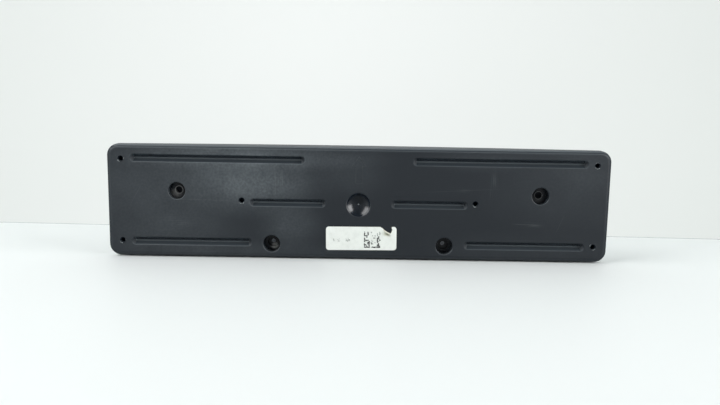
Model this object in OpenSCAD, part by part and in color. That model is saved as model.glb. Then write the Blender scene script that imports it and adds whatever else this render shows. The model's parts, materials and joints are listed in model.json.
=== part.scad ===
// Number plate holder: one injection-moulded shell that is screwed to a bumper and carries
// a long European plate on its flat face.
// Seen from the front, X runs to the right, Z runs up and -Y points at the viewer.
// The origin is the centre of the four corner screw holes, on the front face.

/* [Front face] */
// Width of the front face between its rounded ends
body_w = 520; // [500:1:560]
// Height of the front face between its long edges
body_h = 116.5; // [112:0.5:130]
// Drop of the face's middle below the corner screws' middle line
body_drop = 0.7; // [0:0.1:1.5]
// Radius of the four corners, seen from the front
corner_r = 12; // [9:0.5:14]
// Radius of the rounded edge between the face and the side walls
edge_r = 4.5; // [3.5:0.25:6]
// Thickness of the moulded wall: face, sides, beads and screw cups
wall_t = 2.5; // [2:0.1:3]

/* [Side walls] */
// Depth of the side walls in the middle of the long edges
depth_mid = 21; // [20:0.5:26]
// Depth of the side walls at the two short ends
depth_end = 8; // [7:0.5:12]
// Draft of the side walls, in degrees
wall_draft = 3; // [1:0.5:4]

/* [Stiffening beads] */
// Width of each bead at the face
bead_w = 8.5; // [7:0.25:10]
// Depth of each bead's channel below the face
bead_depth = 4.25; // [3:0.25:5]
// Radius of the round bottom of that channel
bead_floor_r = 1.3; // [0.8:0.1:1.8]
// Radius of the soft lip where a bead meets the face
bead_lip_r = 0.9; // [0.4:0.1:1.2]
// Distance from the end of the holder to the outer end of the long beads
bead_end_inset = 24; // [22:0.5:28]
// Gap between the two upper beads
top_bead_gap = 111; // [90:1:130]
// Height of the upper beads above the corner screws' middle line
top_bead_z = 43.5; // [40:0.5:45]
// Depth of the lower beads under the same line
bottom_bead_z = 43; // [40:0.5:45]
// Gap between the rim of a lower screw cup and the lower bead beside it
bottom_bead_clear = 11.5; // [10:0.5:20]
// Height of the two middle beads, under the same line
mid_bead_drop = 1; // [0:0.5:3]
// Gap between a middle bead and the centre of the middle screw hole beside it
mid_bead_clear = 8; // [6:0.5:12]
// Gap between the central dimple's rim and each middle bead
dimple_bead_gap = 21; // [15:0.5:26]

/* [Plate screw holes] */
// Diameter of the self-tapping screws' pilot holes
pilot_d = 4.8; // [4:0.1:5.4]
// Distance from the holder's end to the corner screw holes
pilot_end_inset = 15; // [12:0.5:17]
// Spacing of the corner screw holes in height
pilot_spacing_z = 85; // [80:0.5:88]
// Spacing of the two middle screw holes
mid_pilot_spacing = 242; // [225:1:255]
// Height of the middle screw holes above the middle line
mid_pilot_rise = 1; // [0:0.5:4]
// Outer diameter of the boss behind each pilot hole
boss_d = 9.5; // [9:0.25:11]
// Depth of the boss behind the face
boss_depth = 7.5; // [6:0.25:8]
// Thickness of the floor that closes a boss
boss_floor_t = 1.2; // [0.8:0.1:1.6]
// Width of the chamfer round each pilot hole
pilot_chamfer = 0.4; // [0.2:0.1:0.8]

/* [Screw cups] */
// Diameter of each cup at the face
cup_d = 17.6; // [16:0.2:19]
// Depth of the cup floor below the face
cup_depth = 10.8; // [9:0.2:12]
// Draft of the cup wall, in degrees
cup_draft = 1.5; // [0.5:0.5:3]
// Radius of the lip where a cup meets the face
cup_lip_r = 0.9; // [0.5:0.1:1.4]
// Spacing of the two upper cups
upper_cup_spacing = 376; // [360:1:386]
// Height of the upper cups above the middle line
upper_cup_rise = 10; // [6:0.5:16]
// Diameter of the screw hole in an upper cup
upper_hole_d = 6.8; // [6:0.2:8]
// Diameter of the raised washer seat round that hole
seat_d = 9.2; // [8.6:0.2:12]
// Height of the washer seat above the cup floor
seat_h = 1.2; // [0.5:0.1:1.5]
// Spacing of the two lower cups
lower_cup_spacing = 180; // [165:1:190]
// Drop of the lower cups below the middle line
lower_cup_drop = 44; // [40:0.5:44]
// Diameter of the narrow well inside a lower cup
well_d = 11; // [10:0.2:12]
// Depth of the well floor below the face
well_depth = 16.4; // [14:0.2:17]
// Diameter of the screw hole in a lower cup's well
lower_hole_d = 4.4; // [4:0.2:5.2]

/* [Central dimple] */
// Diameter of the dimple at the face
dimple_d = 25.5; // [22:0.5:28]
// Depth of the dimple
dimple_depth = 6.5; // [5:0.25:8]
// Radius of the lip where the dimple meets the face
dimple_lip_r = 1; // [0.5:0.1:1.5]
// Drop of the dimple's centre below the middle line
dimple_drop = 2; // [0:0.5:4]
// Diameter of the injection gate's stub at the dimple's centre
gate_d = 1.8; // [1.4:0.1:2.4]
// Radius of the broken tip of the gate's stub
gate_tip_r = 0.6; // [0.3:0.1:0.9]
// Height of the gate stub
gate_h = 0.8; // [0.4:0.1:1.2]

/* [Ribs] */
// Thickness of the cross ribs and gussets behind the face
rib_t = 1.6; // [1.2:0.1:2]
// Distance that the cross ribs stay short of the side walls' rear edge
rib_setback = 2; // [1:0.5:4]
// Length of each gusset, out from the screw cup it props
gusset_len = 8; // [5:0.5:10]
// Depth of the ties between a corner boss and the side walls
tie_depth = 5; // [4:0.25:6]

/* [Sticker] */
// Length of the paper sticker
sticker_w = 75; // [70:1:80]
// Height of the paper sticker
sticker_h = 25.5; // [23:0.5:28]
// Corner radius of the sticker
sticker_r = 3; // [2:0.25:4]
// Thickness of the sticker
sticker_t = 0.15; // [0.1:0.05:0.3]
// Shift of the sticker's centre to the right of the middle
sticker_x = 4; // [0:0.5:10]
// Distance from the holder's lower edge up to the sticker
sticker_rise = 9.2; // [8:0.2:12]
// Width of the piece torn out of the sticker's upper edge
tear_w = 11.7; // [9:0.1:14]
// Depth of the torn notch
tear_depth = 7; // [5:0.25:9]
// Distance from the sticker's right end to the notch
tear_inset = 4.7; // [4:0.1:6]
// Width of the torn strip that is folded down beside the notch
fold_w = 2.4; // [1.6:0.1:3]
// Distance from the notch's lower left edge to the crease of that strip
fold_inset = 0.7; // [0.6:0.1:1]
// Height of the folded strip's free edge above the paper
fold_rise = 0.9; // [0.5:0.1:1.4]

/* [Hidden] */
$fn = 64;
rear_fn = 720;          // fine enough for the long, slow curve of the rear edge
past = 1;               // how far a cutting tool runs past the face it cuts
lap = 0.5;              // how far two tools of one cut run into each other

// Radius of the arc over a chord, where the arc rises by the given amount in the middle
function arc_radius(chord, rise) = (chord * chord / 4 + rise * rise) / (2 * rise);

pilot_x = body_w / 2 - pilot_end_inset;
pilot_z = pilot_spacing_z / 2;
mid_pilot_x = mid_pilot_spacing / 2;
upper_cup_x = upper_cup_spacing / 2;
lower_cup_x = lower_cup_spacing / 2;
cup_r = cup_d / 2;
cup_floor_r = cup_r - cup_depth * tan(cup_draft);
sticker_z = sticker_rise + sticker_h / 2 - body_h / 2 - body_drop;

// Torn edge of the notch, from its left end to its right end, as shares of its width and depth
tear_shares = [[-1, 0], [-0.79, -0.21], [-0.59, -0.54], [-0.39, -0.79], [-0.11, -1],
               [-0.06, -0.83], [0.02, -0.49], [-0.03, -0.21], [0, 0]];
tear_edge = [for (share = tear_shares) [share.x * tear_w, share.y * tear_depth]];
fold_start = tear_edge[2];
fold_end = tear_edge[4];

// The rear edge is one arc that is deepest in the middle
rear_r = arc_radius(body_w, depth_mid - depth_end);
dimple_ball_r = arc_radius(dimple_d, dimple_depth);

// Slope of a bead's flat wall, which touches the round bottom and ends at the face
bead_rim = [bead_w / 2, bead_depth - bead_floor_r];
bead_slope = atan2(bead_rim.y, bead_rim.x) + asin(bead_floor_r / norm(bead_rim));
// Direction from the bead's wall into the plastic
into_wall = [sin(bead_slope), -cos(bead_slope)];

long_bead_end = body_w / 2 - bead_end_inset;
bottom_bead_start = lower_cup_x + cup_r + bottom_bead_clear;
mid_bead_start = dimple_d / 2 + dimple_bead_gap;
mid_bead_end = mid_pilot_x - mid_bead_clear;

// Each cross rib stands midway between the two features beside it
rib_places = [lower_cup_x / 2, (mid_pilot_x + upper_cup_x) / 2, (upper_cup_x + pilot_x) / 2];

// Half of a side wall's section: flat face, rounded edge and drafted side.
// X is the distance out from the corner's centre, Y is height above the face (so depth is negative).
module wall_section(corner, edge, depth) {
    translate([0, -edge]) square([corner - edge, edge]);
    translate([corner - edge, -edge]) circle(edge);
    polygon([
        [0, -depth],
        [0, -edge],
        [corner, -edge],
        [corner + (depth - edge) * tan(wall_draft), -depth]
    ]);
}

// Solid tray with its flat face at Z = 0: a core, four straight edges and four turned corners
module tray(w, h, corner, edge, depth) {
    core_w = w - 2 * corner;
    core_h = h - 2 * corner;
    translate([-core_w / 2, -core_h / 2, -depth]) cube([core_w, core_h, depth]);
    for (turn = [0, 180]) rotate([0, 0, turn]) {
        translate([core_w / 2, core_h / 2, 0])
            rotate([90, 0, 0])
                linear_extrude(core_h) wall_section(corner, edge, depth);
        translate([-core_w / 2, core_h / 2, 0])
            rotate([90, 0, 90])
                linear_extrude(core_w) wall_section(corner, edge, depth);
        translate([core_w / 2, core_h / 2, 0])
            rotate_extrude(angle = 90) wall_section(corner, edge, depth);
        translate([-core_w / 2, core_h / 2, 0])
            rotate([0, 0, 90])
                rotate_extrude(angle = 90) wall_section(corner, edge, depth);
    }
}

// Everything in front of the rear edge's arc, moved forward by setback
module in_front_of_rear(setback = 0) {
    reach = body_h;
    translate([0, -reach, rear_r - depth_mid + setback])
        rotate([-90, 0, 0])
            cylinder(h = 2 * reach, r = rear_r, $fn = rear_fn);
}

// Half section of the space in the dimple: a ball's cap with a lip that rounds into the face
module dimple_space_section() {
    centre = [0, dimple_ball_r - dimple_depth];
    lip_x = sqrt(pow(dimple_ball_r + dimple_lip_r, 2) - pow(centre.y + dimple_lip_r, 2));
    lip = [lip_x, -dimple_lip_r];
    foot = centre + (lip - centre) * dimple_ball_r / (dimple_ball_r + dimple_lip_r);
    intersection() {
        translate(centre) circle(dimple_ball_r);
        translate([0, -dimple_ball_r]) square([dimple_ball_r, dimple_ball_r + foot.y]);
    }
    difference() {
        polygon([[0, past], [lip_x, past], lip, foot, [0, foot.y]]);
        translate(lip) circle(dimple_lip_r);
    }
}

// Half section of the dimple's solid behind the face, one wall thicker than its space
module dimple_solid_section() {
    outer_r = dimple_ball_r + wall_t;
    intersection() {
        translate([0, dimple_ball_r - dimple_depth]) circle(outer_r);
        translate([0, -outer_r]) square([outer_r, outer_r - wall_t / 2]);
    }
}

// Half section of the round bottom of a bead, up to where the flat walls start
module bead_bottom_section(r) {
    intersection() {
        translate([0, -bead_rim.y]) circle(r);
        translate([0, -bead_rim.y - r]) square([r, r + r * into_wall.y]);
    }
}

// Half section of the space in a bead
module bead_space_section() {
    lip = [bead_w / 2 + bead_lip_r * tan(bead_slope / 2), -bead_lip_r];
    foot = [0, -bead_rim.y] + bead_floor_r * into_wall;
    bead_bottom_section(bead_floor_r);
    difference() {
        polygon([[0, past], [lip.x, past], lip, lip - bead_lip_r * into_wall, foot, [0, foot.y]]);
        translate(lip) circle(bead_lip_r);
    }
}

// Half section of the bead's solid behind the face, one wall thicker than its space
module bead_solid_section() {
    outer_r = bead_floor_r + wall_t;
    foot = [0, -bead_rim.y] + outer_r * into_wall;
    top_z = -wall_t / 2;
    bead_bottom_section(outer_r);
    polygon([[0, top_z], [foot.x + (top_z - foot.y) / tan(bead_slope), top_z], foot, [0, foot.y]]);
}

// Sweeps a half section along X from one end to the other, and turns it round at both ends
module round_ended(from_x, to_x) {
    translate([from_x, 0, 0])
        rotate([90, 0, 90])
            linear_extrude(to_x - from_x) {
                children();
                mirror([1, 0]) children();
            }
    translate([from_x, 0, 0]) rotate([0, 0, 90]) rotate_extrude(angle = 180) children();
    translate([to_x, 0, 0]) rotate([0, 0, -90]) rotate_extrude(angle = 180) children();
}

// One child at the place of each bead, on both sides of the middle
module at_beads() {
    end_r = bead_w / 2;
    for (side = [0, 1]) mirror([side, 0, 0]) {
        translate([0, top_bead_z, 0])
            round_ended(top_bead_gap / 2 + end_r, long_bead_end - end_r) children();
        translate([0, -bottom_bead_z, 0])
            round_ended(bottom_bead_start + end_r, long_bead_end - end_r) children();
        translate([0, -mid_bead_drop, 0])
            round_ended(mid_bead_start + end_r, mid_bead_end - end_r) children();
    }
}

// Section of the rounded lip round a hole of the given radius
module lip_section(hole_r, lip_r) {
    difference() {
        translate([hole_r - lap, -lip_r]) square([lip_r + lap, lip_r + past]);
        translate([hole_r + lip_r, -lip_r]) circle(lip_r);
    }
}

// One child on the left and one on the right, at the same height
module pair(x, y) {
    for (side = [-1, 1]) translate([side * x, y, 0]) children();
}

module at_corner_pilots() {
    pair(pilot_x, pilot_z) children();
    pair(pilot_x, -pilot_z) children();
}

// Space inside a screw cup, down to its floor
module cup_space() {
    rotate_extrude() {
        polygon([[0, past], [cup_r, past], [cup_r, 0], [cup_floor_r, -cup_depth], [0, -cup_depth]]);
        lip_section(cup_r, cup_lip_r);
    }
}

module cup_wall(depth, r) {
    translate([0, 0, -depth - wall_t]) cylinder(h = depth + wall_t / 2, r = r + wall_t);
}

// Four props that stand round a screw cup, behind the face
module gussets(depth, r) {
    for (turn = [0, 90, 180, 270]) rotate([90, 0, turn])
        translate([0, 0, -rib_t / 2])
            linear_extrude(rib_t)
                polygon([[r, -wall_t / 2], [r + wall_t + gusset_len, -wall_t / 2],
                         [r + wall_t + gusset_len, -wall_t - rib_t], [r + wall_t, -depth], [r, -depth]]);
}

module upper_cup_solid() {
    cup_wall(cup_depth, cup_r);
}

module upper_cup_space() {
    difference() {
        cup_space();
        translate([0, 0, -cup_depth - past]) cylinder(h = past + seat_h, r = seat_d / 2);
    }
    translate([0, 0, -depth_mid]) cylinder(h = depth_mid, r = upper_hole_d / 2);
}

module lower_cup_solid() {
    cup_wall(cup_depth, cup_r);
    cup_wall(well_depth, well_d / 2);
}

module lower_cup_space() {
    cup_space();
    translate([0, 0, -well_depth]) cylinder(h = well_depth, r = well_d / 2);
    translate([0, 0, -depth_mid - past]) cylinder(h = depth_mid, r = lower_hole_d / 2);
}

module dimple_space() {
    difference() {
        rotate_extrude() dimple_space_section();
        translate([0, 0, -dimple_depth - past]) cylinder(h = past + gate_h, r1 = gate_d, r2 = gate_tip_r);
    }
}

module boss() {
    translate([0, 0, -boss_depth]) cylinder(h = boss_depth - wall_t / 2, r = boss_d / 2);
}

module pilot_hole() {
    hole_r = pilot_d / 2;
    hole_depth = boss_depth - boss_floor_t;
    cone_h = pilot_chamfer + past;
    translate([0, 0, -hole_depth]) cylinder(h = hole_depth + past, r = hole_r);
    translate([0, 0, -pilot_chamfer]) cylinder(h = cone_h, r1 = hole_r, r2 = hole_r + cone_h);
}

// Two short ribs that tie a corner boss to the nearest end wall and long wall
module corner_ties() {
    edge_reach = body_h / 2 + body_drop - pilot_z;
    for (side_x = [0, 1], side_y = [0, 1]) mirror([side_x, 0, 0]) mirror([0, side_y, 0])
        translate([pilot_x, pilot_z, -tie_depth]) {
            translate([0, -rib_t / 2, 0]) cube([pilot_end_inset, rib_t, tie_depth - wall_t / 2]);
            translate([-rib_t / 2, 0, 0]) cube([rib_t, edge_reach, tie_depth - wall_t / 2]);
        }
}

// Ribs across the shell, from one long wall to the other, short of its rear edge
module cross_ribs() {
    intersection() {
        for (x = rib_places, side = [-1, 1])
            translate([side * x - rib_t / 2, -body_h / 2 - body_drop, -depth_mid])
                cube([rib_t, body_h, depth_mid - wall_t / 2]);
        in_front_of_rear(rib_setback);
    }
}

// All thin ribs, ended halfway through the face and the side walls that they meet
module props() {
    intersection() {
        union() {
            pair(upper_cup_x, upper_cup_rise) gussets(cup_depth, cup_r);
            pair(lower_cup_x, -lower_cup_drop) gussets(cup_depth, cup_r);
            corner_ties();
            cross_ribs();
        }
        translate([0, -body_drop, -wall_t / 2])
            tray(body_w - wall_t, body_h - wall_t, corner_r - wall_t / 2, edge_r - wall_t / 2, depth_mid);
    }
}

module shell() {
    translate([0, -body_drop, 0]) difference() {
        tray(body_w, body_h, corner_r, edge_r, depth_mid);
        translate([0, 0, -wall_t])
            tray(body_w - 2 * wall_t, body_h - 2 * wall_t, corner_r - wall_t, edge_r - wall_t, depth_mid);
    }
}

module plate_carrier() {
    color("#3b3f44")
        rotate([90, 0, 0])
            intersection() {
                difference() {
                    union() {
                        shell();
                        at_beads() bead_solid_section();
                        pair(upper_cup_x, upper_cup_rise) upper_cup_solid();
                        pair(lower_cup_x, -lower_cup_drop) lower_cup_solid();
                        translate([0, -dimple_drop, 0])
                            rotate_extrude() dimple_solid_section();
                        at_corner_pilots() boss();
                        pair(mid_pilot_x, mid_pilot_rise) boss();
                        props();
                    }
                    at_beads() bead_space_section();
                    pair(upper_cup_x, upper_cup_rise) upper_cup_space();
                    pair(lower_cup_x, -lower_cup_drop) lower_cup_space();
                    translate([0, -dimple_drop, 0]) dimple_space();
                    at_corner_pilots() pilot_hole();
                    pair(mid_pilot_x, mid_pilot_rise) pilot_hole();
                }
                in_front_of_rear();
            }
}

module rounded_rectangle(w, h, r) {
    square([w - 2 * r, h], center = true);
    square([w, h - 2 * r], center = true);
    for (x = [-1, 1], y = [-1, 1])
        translate([x * (w / 2 - r), y * (h / 2 - r)]) circle(r);
}

// Puts its child at the right-hand end of the notch, on the sticker's upper edge
module at_notch() {
    translate([sticker_w / 2 - tear_inset, sticker_h / 2, 0]) children();
}

// Strip that was torn loose along the notch's lower left edge and folded down over the paper
module folded_strip() {
    run = fold_end - fold_start;
    along = norm(run);
    taper = fold_w / 2;
    translate([fold_start.x, fold_start.y, sticker_t / 2])
        rotate([0, 0, atan2(run.y, run.x)])
            translate([0, -fold_inset, 0])
                rotate([-asin(fold_rise / fold_w), 0, 0])
                    linear_extrude(sticker_t)
                        polygon([[0, 0], [along, 0], [along - taper, -fold_w], [taper, -fold_w]]);
}

module sticker() {
    color("#f1f2ee")
        rotate([90, 0, 0])
            translate([sticker_x, sticker_z, 0]) {
                linear_extrude(sticker_t)
                    difference() {
                        rounded_rectangle(sticker_w, sticker_h, sticker_r);
                        at_notch() polygon(concat([[-tear_w, past]], tear_edge, [[0, past]]));
                    }
                at_notch() folded_strip();
            }
}

plate_carrier();
sticker();
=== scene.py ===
"""Looks of a number plate holder: its satin black moulding, a torn paper sticker and a plain studio."""
import json
import math
import random

import bpy
from bpy.props import FloatProperty, FloatVectorProperty, IntProperty, PointerProperty
from mathutils import Matrix, Vector, noise
from mathutils.geometry import delaunay_2d_cdt


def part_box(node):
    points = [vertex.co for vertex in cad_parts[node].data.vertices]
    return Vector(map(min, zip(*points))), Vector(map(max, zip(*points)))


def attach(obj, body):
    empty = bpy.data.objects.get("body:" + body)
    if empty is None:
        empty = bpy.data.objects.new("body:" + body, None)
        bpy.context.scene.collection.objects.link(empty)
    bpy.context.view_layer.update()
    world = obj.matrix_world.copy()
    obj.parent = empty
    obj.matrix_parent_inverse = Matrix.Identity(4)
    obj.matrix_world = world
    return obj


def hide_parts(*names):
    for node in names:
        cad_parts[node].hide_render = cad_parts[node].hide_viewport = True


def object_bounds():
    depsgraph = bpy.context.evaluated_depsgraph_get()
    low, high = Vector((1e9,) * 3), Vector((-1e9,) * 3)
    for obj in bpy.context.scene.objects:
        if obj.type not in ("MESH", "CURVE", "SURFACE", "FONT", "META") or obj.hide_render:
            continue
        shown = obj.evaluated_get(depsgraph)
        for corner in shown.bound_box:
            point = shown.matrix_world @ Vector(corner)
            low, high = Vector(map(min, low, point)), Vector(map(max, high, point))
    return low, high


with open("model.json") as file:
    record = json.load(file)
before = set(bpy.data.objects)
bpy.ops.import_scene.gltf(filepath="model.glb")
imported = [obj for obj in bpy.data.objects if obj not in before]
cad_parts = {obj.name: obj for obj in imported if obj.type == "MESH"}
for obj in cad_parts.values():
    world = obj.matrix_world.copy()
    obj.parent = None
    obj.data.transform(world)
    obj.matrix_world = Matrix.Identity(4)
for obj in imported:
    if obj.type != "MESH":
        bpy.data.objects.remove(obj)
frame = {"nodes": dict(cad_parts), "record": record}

bl_info = {
    "name": "Number plate holder",
    "version": (1, 0, 0),
    "blender": (4, 5, 0),
    "location": "View3D > Sidebar > Plate Holder",
    "description": "Finishes a moulded number plate holder and its torn paper sticker",
    "category": "Object",
}

MM = 0.001
CAD_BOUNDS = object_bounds()
CARRIER = frame["nodes"]["plate_carrier"]
STICKER_LOW, STICKER_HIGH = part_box("sticker")
MOUNTS = {m["name"]: m for m in frame["record"]["mounts"]}
PLATE_SCREWS = ("plate_screws", "plate_screws_middle")
CUP_SCREWS = ("upper_fixing_screws", "lower_fixing_screws")
PLASTIC_IOR = 1.49
PAPER_IOR = 1.5
# Lower than a real laminate's, to match how faintly the table mirrors the holder
LAMINATE_IOR = 1.33
# Half depth, in mm, of a patch of the face: so large that depth hardly counts
PATCH_DEPTH = 1000


def linear(hex_colour):
    """The linear RGB of an sRGB hex colour such as #3b4045."""
    shares = [int(hex_colour[i:i + 2], 16) / 255 for i in (1, 3, 5)]
    return [c / 12.92 if c <= 0.04045 else ((c + 0.055) / 1.055) ** 2.4 for c in shares]


def colour(name, description, hex_colour):
    """A colour property."""
    return FloatVectorProperty(
        name=name, description=description, subtype="COLOR", min=0, max=1, default=linear(hex_colour))


def length(name, description, default_mm):
    """A length property, kept in metres."""
    return FloatProperty(
        name=name, description=description, subtype="DISTANCE", unit="LENGTH", default=default_mm * MM,
        precision=5)


def share(name, description, default):
    """A property between 0 and 1."""
    return FloatProperty(name=name, description=description, subtype="FACTOR", min=0, max=1, default=default)


def angle(name, description, default_degrees):
    """An angle property, kept in radians."""
    return FloatProperty(
        name=name, description=description, subtype="ANGLE", unit="ROTATION",
        default=math.radians(default_degrees))


def power(name, description, default_watts):
    """A property for a lamp's power."""
    return FloatProperty(name=name, description=description, unit="POWER", default=default_watts)


class PlasticFinish(bpy.types.PropertyGroup):
    """Colours and surface of the black moulding."""

    body: colour("Body", "Colour of the clean black polypropylene", "#0f171f")
    # The haze colour also paints the highlights on the lips that turn up and on the upper edge
    haze: colour("Haze", "Colour of the thin film of dust on the face", "#929b9f")
    # The grit colour also paints the pools of light on the cup floors and the highlights of the raised rings
    # round the upper holes
    grit: colour("Grit", "Colour of the grit on the floors of the cups", "#b5b4b0")
    # The rub colour also paints the glint on the gate's stub, and on the burrs it is partly a painted
    # highlight
    rub: colour("Rub marks", "Colour of plastic that was rubbed or stressed pale", "#a4abab")
    satin: share("Satin roughness", "Roughness of the spark-eroded face", 0.5)
    polish: share("Polished roughness", "Roughness where the mould insert was polished", 0.21)
    grain: length("Grain", "Width of one pit of the satin grain, as drawn", 0.6)


class ArrowSizes(bpy.types.PropertyGroup):
    """Outlined arrow, moulded on the face, that shows which way is up."""

    tip: length("Tip height", "Height of the tip above the corner screws' middle", 47.9)
    whole: length("Length", "Length of the arrow from its tip to its tail", 27.5)
    head: length("Head length", "Length of the arrow's head", 9.5)
    head_width: length("Head width", "Width of the arrow's head", 14.5)
    shaft_width: length("Shaft width", "Width of the arrow's shaft", 6.6)
    line: length("Line width", "Width of the raised outline", 0.7)
    rise: length("Rise", "Height of the raised outline above the face", 0.2)


class BurrSizes(bpy.types.PropertyGroup):
    """Rims of plastic that the plate screws raised round their holes, pale from stress and from a painted
    highlight for their glints.
    """

    radius: length("Hole radius", "Radius of the rim of a plate screw's hole", 3.0)
    width: length("Width", "Greatest width of the raised rim", 0.7)
    rise: length("Rise", "Greatest height of the raised rim above the face", 0.3)


class StickerSizes(bpy.types.PropertyGroup):
    """Paper sticker, its torn notch, folded strip and worn print."""

    sheet_length: length("Length", "Length of the sticker", 73.4)
    sheet_height: length("Height", "Height of the sticker", 24.8)
    turn: angle("Turn", "How far the sticker is turned anticlockwise from level", 0.6)
    thickness: length("Thickness", "Thickness of the paper", 0.15)
    corner: length("Corner radius", "Radius of the sticker's corners", 3.0)
    tear_width: length("Notch width", "Width of the torn notch", 12.2)
    tear_depth: length("Notch depth", "Depth of the torn notch", 7.0)
    tear_inset: length("Notch inset", "Distance from the sticker's right end to the notch", 4.85)
    ply_step: length("Ply step", "Width of the bare fibres along the tear", 0.35)
    fold_width: length("Fold width", "Width of the strip that is folded down", 1.5)
    fold_inset: length("Fold inset", "Distance from the torn edge to the strip's crease", 0.2)
    print_cell: length("Print cell", "Width of one square of the worn print", 1.22)
    paper: colour("Paper", "Colour of the coated paper", "#eef2ec")
    fibre: colour("Fibre", "Colour of the bare paper fibres and the adhesive side", "#d6d6c8")
    # This colour paints the folded strip's shadow together with the dirt under it
    shadow_and_stain: colour("Stain", "Colour of the dirt under the folded strip", "#8a8b78")
    ink: colour("Ink", "Colour of the worn print", "#101312")
    faded: colour("Faded ink", "Colour of the print that has faded", "#868c87")
    seed: IntProperty(name="Seed", description="Seed of the torn edges and the worn print", default=11)


class StudioSettings(bpy.types.PropertyGroup):
    """Camera, backdrop and lamps of the plain studio."""

    distance: length("Camera distance", "Distance of the camera in front of the face", 676.7)
    height: length("Camera height", "Height of the camera above the corner screws' middle", 91.0)
    side: length("Camera side", "Shift of the camera to the right of the middle", 1.5)
    pitch: angle("Camera pitch", "How far the camera looks down", 7.6)
    roll: angle("Camera roll", "How far the camera is turned about its own view", 0.91)
    lens: FloatProperty(
        name="Lens", description="Focal length on a 36 mm sensor", unit="CAMERA", default=33.0)
    backdrop_gap: length("Backdrop gap", "Distance from the face to the backdrop behind it", 174.0)
    backdrop_lift: length("Backdrop lift", "Gap between the backdrop's lower edge and the table", 0.4)
    backdrop_turn: angle("Backdrop turn", "How far the backdrop is turned about the vertical", 2.65)
    pale: colour("Backdrop", "Colour of the backdrop's middle", "#f6faf8")
    # The sides' colour is painted shade, for the light falling off towards them
    shaded_sides: colour("Backdrop's sides", "Colour of the backdrop toward its sides", "#e5eae7")
    backdrop_glow: share("Backdrop glow", "How much of its white comes through from behind it", 0.8)
    table: colour("Table", "Colour of the table", "#dbdfde")
    table_gloss: share("Table roughness", "Roughness of the table's face", 0.5)
    dimming: share("Dimming", "How much darker the table is in reflections", 0.75)
    soft_light: FloatProperty(
        name="Soft light", description="Strength of the light from all round", default=0.33)
    left_lamp: power("Left softbox", "Power of the softbox on the left", 175.0)
    right_lamp: power("Right softbox", "Power of the softbox on the right", 180.0)
    top_lamp: power("Top softbox", "Power of the softbox above and a little behind", 19.0)
    back_lamp: power("Rear softbox", "Power of the softbox above and behind the backdrop", 95.0)


SETTINGS = {
    "plate_holder_plastic": PlasticFinish,
    "plate_holder_arrow": ArrowSizes,
    "plate_holder_burrs": BurrSizes,
    "plate_holder_sticker": StickerSizes,
    "plate_holder_studio": StudioSettings,
}


# Building nodes and meshes


def add_node(tree, kind, inputs=None, **settings):
    """Adds a node, sets its properties, and sets or links its inputs. A node given as an input is
    linked from its first output in use."""
    node = tree.nodes.new(kind)
    for key, value in settings.items():
        setattr(node, key, value)
    for key, value in (inputs or {}).items():
        if isinstance(value, bpy.types.Node):
            value = next(output for output in value.outputs if output.enabled)
        if isinstance(value, bpy.types.NodeSocket):
            tree.links.new(value, node.inputs[key])
        else:
            node.inputs[key].default_value = value
    return node


def start_material(name):
    """An empty node material and its tree."""
    material = bpy.data.materials.new(name)
    material.use_nodes = True
    material.node_tree.nodes.clear()
    return material, material.node_tree


def surface_point(tree):
    """The surface point in the row frame, in millimetres."""
    place = add_node(tree, "ShaderNodeTexCoord").outputs["Object"]
    return add_node(tree, "ShaderNodeVectorMath", {0: place, "Scale": 1 / MM}, operation="SCALE")


def finish_material(material, shader):
    """Links the shader to the material's output."""
    add_node(material.node_tree, "ShaderNodeOutputMaterial", {"Surface": shader})
    return material


def paint(tree, base, *layers):
    """A base colour under layers of (mask, linear colour)."""
    below = (*base, 1)
    for mask, rgb in layers:
        below = add_node(tree, "ShaderNodeMix", {0: mask, 6: below, 7: (*rgb, 1)}, data_type="RGBA")
    return below


def total(tree, *pairs):
    """Sum of (mask, strength) pairs. A mask may be a plain number."""
    whole = 0.0
    for mask, strength in pairs:
        whole = add_node(tree, "ShaderNodeMath", {0: mask, 1: strength, 2: whole}, operation="MULTIPLY_ADD")
    return whole


def product(tree, *masks):
    """Product of masks. All but the first may be plain numbers."""
    whole = masks[0]
    for mask in masks[1:]:
        whole = add_node(tree, "ShaderNodeMath", {0: whole, 1: mask}, operation="MULTIPLY")
    return whole


def noise_mask(tree, place, width_mm, low, high, detail=2.0, stretch=(1, 1, 1), seed=0.0):
    """Noise with blobs about width_mm wide, as a mask that goes from 0 at low to 1 at high."""
    spread = add_node(
        tree, "ShaderNodeVectorMath", {0: place, 1: [1 / s for s in stretch]}, operation="MULTIPLY")
    blobs = add_node(
        tree, "ShaderNodeTexNoise", {"Vector": spread, "W": seed, "Scale": 1 / width_mm, "Detail": detail},
        noise_dimensions="4D")
    return add_node(tree, "ShaderNodeMapRange", {0: blobs, 1: low, 2: high})


def patch_point(tree, place, centre, size, turn=0.0):
    """The surface point in the units of a patch of the face, whose edge is at 1. The patch has a centre
    and half size (x, z) in mm and a turn in degrees."""
    return add_node(
        tree, "ShaderNodeMapping",
        {"Vector": place, "Location": (centre[0], 0, centre[1]), "Rotation": (0, -math.radians(turn), 0),
         "Scale": (size[0], PATCH_DEPTH, size[1])},
        vector_type="TEXTURE")


def patch_reach(tree, place, centre, size, turn=0.0):
    """Distance from the centre of such a patch: 1 at its edge."""
    point = patch_point(tree, place, centre, size, turn)
    return add_node(tree, "ShaderNodeVectorMath", {0: point}, operation="LENGTH").outputs["Value"]


def soft_oval(tree, place, centre, size, turn=0.0):
    """Such a patch as a mask, which fades smoothly from its centre to its edge."""
    reach = patch_reach(tree, place, centre, size, turn)
    return add_node(tree, "ShaderNodeMapRange", {0: reach, 1: 1.0, 2: 0.0}, interpolation_type="SMOOTHSTEP")


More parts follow.
